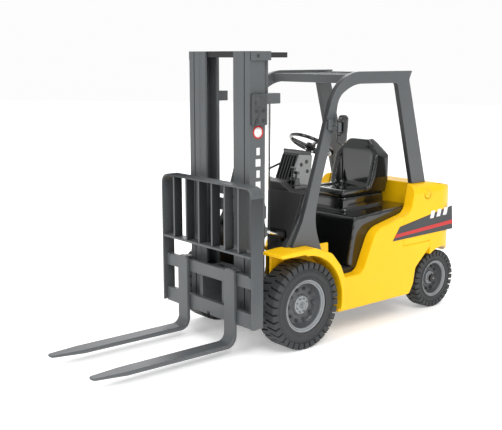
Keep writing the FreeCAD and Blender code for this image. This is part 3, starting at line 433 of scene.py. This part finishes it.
def add_rim(name, sign, dish_look, lip_look):
    """A dished rim: double lip, dark bowl, a ring of domed nuts and a notched hub."""
    low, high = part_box(name)
    centre = (low + high) / 2
    inside, outside = sorted((abs(low.x), abs(high.x)))
    radius = (high.z - low.z) / 2
    bore = radius * 0.15
    face = outside - 6.2 * MM
    bowl = [(inside, bore), (outside - 4.4 * MM, bore), (outside - 4.4 * MM, radius * 0.27),
            (outside - 5.2 * MM, radius * 0.3), (outside - 5.4 * MM, radius * 0.38),
            (face, radius * 0.41), (face - 0.4 * MM, radius * 0.72), (face + 1.2 * MM, radius * 0.79),
            (outside - 2.2 * MM, radius * 0.84), (outside - 2.2 * MM, radius * 0.86),
            (outside - 4 * MM, radius * 0.9), (inside, radius * 0.9),
            (inside, radius * 0.82), (face - 2 * MM, radius * 0.78), (face - 2 * MM, radius * 0.3),
            (inside, radius * 0.28)]
    form = bmesh.new()
    lathe(form, bowl, centre, 96)
    for index in range(RIM_NUTS):
        angle = 2 * math.pi * index / RIM_NUTS
        add_nut(form, centre, face - 0.5 * MM, radius * 0.6, angle, radius * 0.068)
    flip_side(form, sign)
    piece = add_piece(name + "_bowl", form, dish_look, body_of[name])
    round_edges(piece, 0.15 * MM, 1, 40)
    lip = [(outside - 2.4 * MM, radius * 0.84), (outside - 0.9 * MM, radius * 0.845),
           (outside - 0.7 * MM, radius * 0.87), (outside - 1.5 * MM, radius * 0.89),
           (outside - 1.5 * MM, radius * 0.915), (outside - 0.2 * MM, radius * 0.935),
           (outside, radius * 0.965), (outside - 0.4 * MM, radius),
           (inside + 0.4 * MM, radius), (inside, radius * 0.96),
           (inside + 0.4 * MM, radius * 0.9)]
    form = bmesh.new()
    lathe(form, lip, centre, 96)
    flip_side(form, sign)
    ring = add_piece(name + "_lip", form, lip_look, body_of[name])
    round_edges(ring, 0.12 * MM, 2, 25)
    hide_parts(name)
    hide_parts(name)


def add_nut(form, centre, x, circle, angle, size):
    """A six-sided nut with a rounded stud end."""
    middle = Vector((0, centre.y + circle * math.cos(angle), centre.z + circle * math.sin(angle)))
    levels = [(x, size * 1.25), (x + 0.5 * size, size * 1.25), (x + 0.5 * size, size),
              (x + 1.5 * size, size), (x + 1.8 * size, size * 0.75),
              (x + 1.8 * size, size * 0.5), (x + 2.4 * size, size * 0.42)]
    rings = []
    for level, radius in levels:
        ring = []
        for corner in range(6):
            turn = angle + math.pi * corner / 3
            spot = (level, middle.y + radius * math.cos(turn), middle.z + radius * math.sin(turn))
            ring.append(form.verts.new(spot))
        rings.append(ring)
    for index in range(len(rings) - 1):
        for corner in range(6):
            after = (corner + 1) % 6
            form.faces.new((rings[index][corner], rings[index][after], rings[index + 1][after],
                            rings[index + 1][corner]))
    form.faces.new(rings[-1])
    form.faces.new(list(reversed(rings[0])))


def add_hub(name, sign, centre, outside, size):
    """The stepped hub cap in the middle of a wheel, with a ring of small bolts and a notch."""
    form = bmesh.new()
    top = outside - 4.0 * MM
    profile = [(outside - 6 * MM, 0.02 * size), (top, 0.02 * size), (top, 0.55 * size),
               (top - 0.3 * MM, 0.6 * size), (top - 0.5 * MM, 0.92 * size), (top - 0.8 * MM, size),
               (outside - 6 * MM, size)]
    lathe(form, profile, centre, 48)
    for index in range(HUB_BOLTS):
        angle = 2 * math.pi * (index + 0.5) / HUB_BOLTS
        add_nut(form, centre, top - 0.6 * MM, size * 0.76, angle, size * 0.09)
    add_nut(form, Vector((0, centre.y, centre.z)), top - 0.2 * MM, 0, 0.3, size * 0.3)
    flip_side(form, sign)
    body = body_of[name]
    piece = add_piece(name + "_hub", form, "rim_light", body)
    round_edges(piece, 0.1 * MM, 1, 35)


def add_front_axle():
    """The fixed axle, a smooth shaft that ends inside the hub caps."""
    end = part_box("front_rim_left")[1].x - 6 * MM
    form = bmesh.new()
    profile = [(-end, 0.05 * MM), (-end, 2.4 * MM), (-end + 0.6 * MM, AXLE_RADIUS),
               (end - 0.6 * MM, AXLE_RADIUS), (end, 2.4 * MM), (end, 0.05 * MM)]
    lathe(form, profile, AXLE, 40)
    for sign in (1, -1):
        ring = [(sign * 39.5 * MM, 2.9 * MM), (sign * 39.5 * MM, 4.6 * MM), (sign * 42.4 * MM, 4.6 * MM),
                (sign * 42.4 * MM, 2.9 * MM)]
        lathe(form, ring, AXLE, 40)
    piece = add_piece("front_axle_shaft", form, "steel", "chassis")
    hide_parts("front_axle")
    round_edges(piece, 0.2 * MM, 1)


# ---------------------------------------------------------------- moulded shells

def moulded(name, voxel, passes):
    """A softened shell: the CAD solid remeshed finely and relaxed, as a moulding."""
    form = bmesh.new()
    form.from_mesh(nodes[name].data)
    piece = add_piece(name + "_shell", form, slot_of[name], body_of[name])
    remesh = piece.modifiers.new("remesh", "REMESH")
    remesh.mode = "VOXEL"
    remesh.voxel_size = voxel
    remesh.use_smooth_shade = True
    relax = piece.modifiers.new("relax", "SMOOTH")
    relax.factor = 0.6
    relax.iterations = passes
    view = bpy.context.evaluated_depsgraph_get()
    mesh = bpy.data.meshes.new_from_object(piece.evaluated_get(view))
    piece.modifiers.clear()
    piece.data = mesh
    for face in mesh.polygons:
        face.use_smooth = True
    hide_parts(name)


# ---------------------------------------------------------------- mast and carriage

def add_backrest():
    """The backrest; the flanks of its thin uprights take a darker grey, painted shade where the uprights
    shade each other.
    """
    piece = skin("load_backrest", THIN_EDGE * MM)
    # second slot: the darker grey, used as painted shade
    piece.data.materials.append(materials["grey_dark_and_painted_shade"])
    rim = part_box("load_backrest")[1].x - 3 * MM
    # painted shade: the inner flanks of the uprights, facing sideways, get the darker grey
    for face in piece.data.polygons:
        if abs(face.normal.x) > 0.9 and abs(face.center.x) < rim:
            face.material_index = 1


def add_guard(name):
    """One side of the overhead guard; its forward-facing faces take a darker grey as painted shade."""
    piece = skin(name, BOLD_EDGE * MM, 3)
    # second slot: the darker grey, used as painted shade
    piece.data.materials.append(materials["grey_dark_and_painted_shade"])
    # painted shade: faces turned to the front get the darker grey
    for face in piece.data.polygons:
        if face.normal.y < -0.45 and abs(face.normal.x) < 0.3:
            face.material_index = 1


def add_mast_marks():
    """A plain ring and a row of short plain bars on the near channel."""
    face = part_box("outer_channels")[1].x
    middle = AXLE_Y - MARK_LINE
    form = bmesh.new()
    centre = Vector((0, middle, RING_HEIGHT))
    lathe(form, [(face - 0.2 * MM, RING_INNER), (face + 0.25 * MM, RING_INNER),
                 (face + 0.25 * MM, RING_OUTER), (face - 0.2 * MM, RING_OUTER)], centre, 48)
    add_piece("mast_ring", form, "stripe_red", "mast")
    form = bmesh.new()
    lathe(form, [(face - 0.2 * MM, 0.05 * MM), (face + 0.15 * MM, 0.05 * MM),
                 (face + 0.15 * MM, RING_INNER), (face - 0.2 * MM, RING_INNER)], centre, 48)
    add_piece("mast_disc", form, "print_white", "mast")
    form = bmesh.new()
    for row in range(5):
        top = BARS_TOP - row * BARS_PITCH
        wide = 2.4 * MM if row % 2 else 1.6 * MM
        block(form, (face - 0.2 * MM, middle - wide, top - 5.6 * MM),
              (face + 0.15 * MM, middle + wide, top))
    add_piece("mast_bars", form, "print_white", "mast", smooth=False)


# ---------------------------------------------------------------- body trim

def add_side_print(sign, side):
    """A plain dark panel with a red stripe and plain bars on the side of the counterweight."""
    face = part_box("counterweight")[1].x
    back = AXLE_Y + PRINT_START
    for look, thick, outline in (("panel_grey", 0.25, PANEL), ("stripe_red", 0.4, STRIPE)):
        form = bmesh.new()
        points = [(back + y * MM, z * MM) for y, z in outline]
        prism_x(form, points, face - 0.3 * MM, face + thick * MM)
        flip_side(form, sign)
        add_piece("%s_%s" % (look, side), form, look, "chassis", smooth=False)
    form = bmesh.new()
    for index in range(BAR_COUNT):
        start = 150 + index * BAR_PITCH
        lift = (start - PANEL[0][0]) * BAR_RISE
        points = [(start, 83.5 + lift), (start + 5, 83.5 + lift),
                  (start + 7, 90 + lift), (start + 2, 90 + lift)]
        prism_x(form, [(back + y * MM, z * MM) for y, z in points], face - 0.3 * MM, face + 0.4 * MM)
    flip_side(form, sign)
    add_piece("panel_bars_" + side, form, "print_white", "chassis", smooth=False)


def add_filler_cap():
    """The round filler cap high on the counterweight's left side."""
    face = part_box("counterweight")[1].x
    centre = Vector((0, AXLE_Y + 150 * MM, 0.1085))
    form = bmesh.new()
    lathe(form, [(face - 1.5 * MM, 0.05 * MM), (face + 0.1 * MM, 0.05 * MM), (face + 0.1 * MM, 3.0 * MM),
                 (face - 0.4 * MM, 3.3 * MM), (face - 0.4 * MM, 3.7 * MM), (face, 4.0 * MM),
                 (face, 4.6 * MM), (face - 1.5 * MM, 4.8 * MM)], centre, 48)
    add_piece("filler_cap", form, "yellow_plastic", "chassis")


def add_dash_panels():
    """Light grey instrument panels and ribs on the column behind the cowl."""
    form = bmesh.new()
    right = 13.6 * MM
    outline = [(31, 121), (30.5, 132), (38.5, 147), (51, 146), (48.5, 121)]
    prism_x(form, [(AXLE_Y + y * MM, z * MM) for y, z in outline], 10 * MM, right)
    piece = add_piece("dash_side", form, "dash_grey", "chassis")
    round_edges(piece, 0.5 * MM, 2)
    form = bmesh.new()
    for index in range(5):
        x = (-10 + 3.4 * index) * MM
        outline = [(30.6, 119), (30.3, 127), (38.4, 146.5), (41, 147), (34, 119)]
        prism_x(form, [(AXLE_Y + y * MM, z * MM) for y, z in outline], x, x + 1.5 * MM)
    piece = add_piece("dash_ribs", form, "black_gloss", "chassis")
    round_edges(piece, 0.3 * MM, 1)
    form = bmesh.new()
    for y, z in ((38, 139), (44, 141), (45, 133)):
        centre = Vector((0, AXLE_Y + y * MM, z * MM))
        lathe(form, [(right - 0.3 * MM, 0.05 * MM), (right + 0.4 * MM, 0.05 * MM),
                     (right + 0.4 * MM, 1.5 * MM), (right - 0.3 * MM, 1.8 * MM)], centre, 24)
    add_piece("dash_dials", form, "black_gloss", "chassis")


add_camera()
add_world()
add_lights()
materials = make_materials()
slot_of = paint_nodes()
add_floor()

for side, sign in SIDES:
    add_tyre("front_tyre_" + side, "front_rim_" + side, sign, FRONT_LUGS)
    add_tyre("rear_tyre_" + side, "rear_rim_" + side, sign, REAR_LUGS)
    add_rim("front_rim_" + side, sign, "rim_dark", "rim_light")
    add_rim("rear_rim_" + side, sign, "rim_dark", "rim_light")
    add_hub("front_rim_" + side, sign, AXLE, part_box("front_rim_left")[1].x, FRONT_HUB)
    add_hub("rear_rim_" + side, sign, REAR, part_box("rear_rim_left")[1].x, REAR_HUB)

# edge width in millimetres, and the CAD nodes that get it
BOXY = {
    THIN_EDGE: ("outer_channels", "inner_channels", "carriage_plate", "mast_brackets",
                "inner_crosshead", "outer_crossmembers", "roof_bars", "floor_pan", "dashboard",
                "mast_bolts"),
    BOLD_EDGE: ("fork_left", "fork_right", "side_plate", "chassis_frame"),
    BODY_EDGE: ("side_panel_left", "side_panel_right", "counterweight"),
}
for width, names in BOXY.items():
    for name in names:
        skin(name, width * MM, 3 if width > THIN_EDGE else 2)
add_front_axle()
add_backrest()
add_mast_marks()
moulded("seat", 1.0 * MM, 14)
moulded("engine_cover", 1.2 * MM, 8)
for side, sign in SIDES:
    add_guard("guard_side_" + side)
    moulded("mirror_" + side, 0.5 * MM, 5)
for side, sign in SIDES:
    add_side_print(sign, side)
add_filler_cap()
add_dash_panels()
